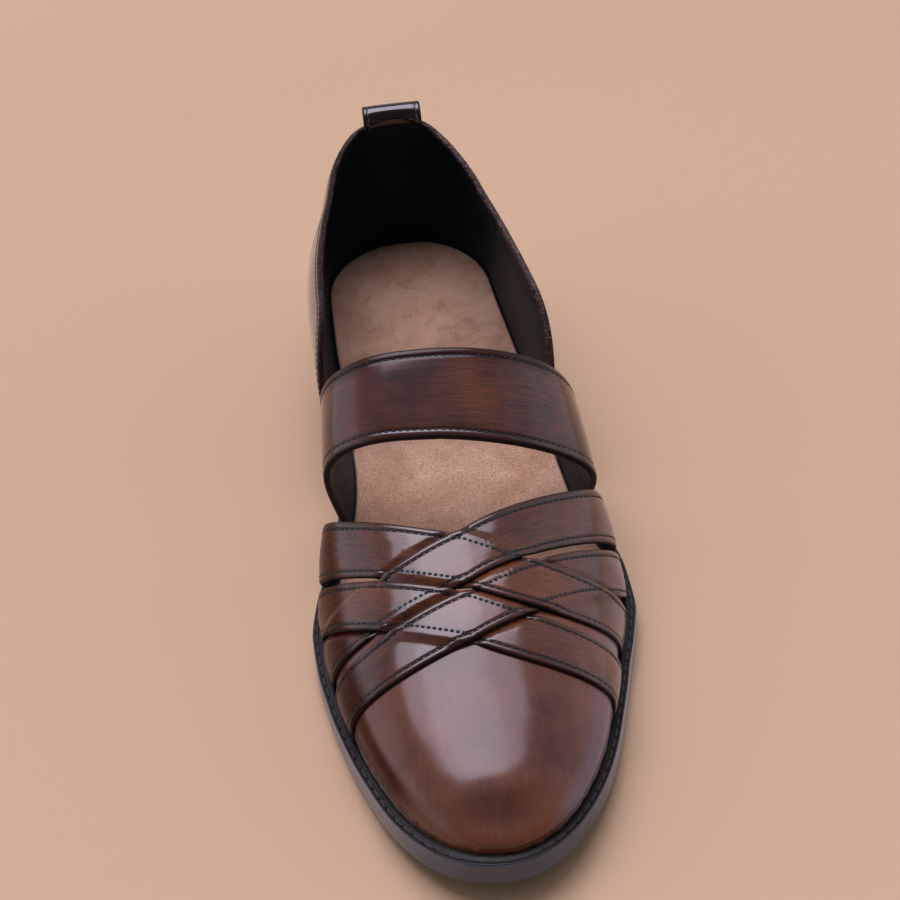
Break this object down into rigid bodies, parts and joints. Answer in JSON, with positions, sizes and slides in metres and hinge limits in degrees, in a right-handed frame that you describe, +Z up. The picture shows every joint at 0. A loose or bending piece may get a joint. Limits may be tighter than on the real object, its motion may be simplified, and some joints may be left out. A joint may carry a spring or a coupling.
{
  "type": "peshawari chappal",
  "caption": "Closed-toe leather sandal with woven crossed straps over the forefoot, a wide instep band, a closed back quarter with a pull tab, a stitched welt, a thin sole and a low heel.",
  "frame": {"origin": "on the floor, under the middle of the shoe's bounding box", "axes": "+Z up, -Y from the heel towards the toe, +X towards the outer (lateral) side of this left shoe"},
  "size_m": [0.1036, 0.3008, 0.0842],
  "materials": {
    "sole": "semi-matte dark blue-grey",
    "heel": "semi-matte black",
    "welt": "black, stitched round",
    "insole": "tan suede, matt and mottled",
    "vamp": "burnished red-brown leather, glossy",
    "strap": "burnished red-brown leather, glossy, stitched edges",
    "quarter": "dark brown patent leather, black lining"
  },
  "bodies": {
    "root": {"outsole": "sole", "heel": "heel", "welt": "welt", "insole": "insole", "upper": "vamp", "instep_strap": "strap", "heel_counter": "quarter", "pull_loop": "strap"}
  },
  "joints": []
}
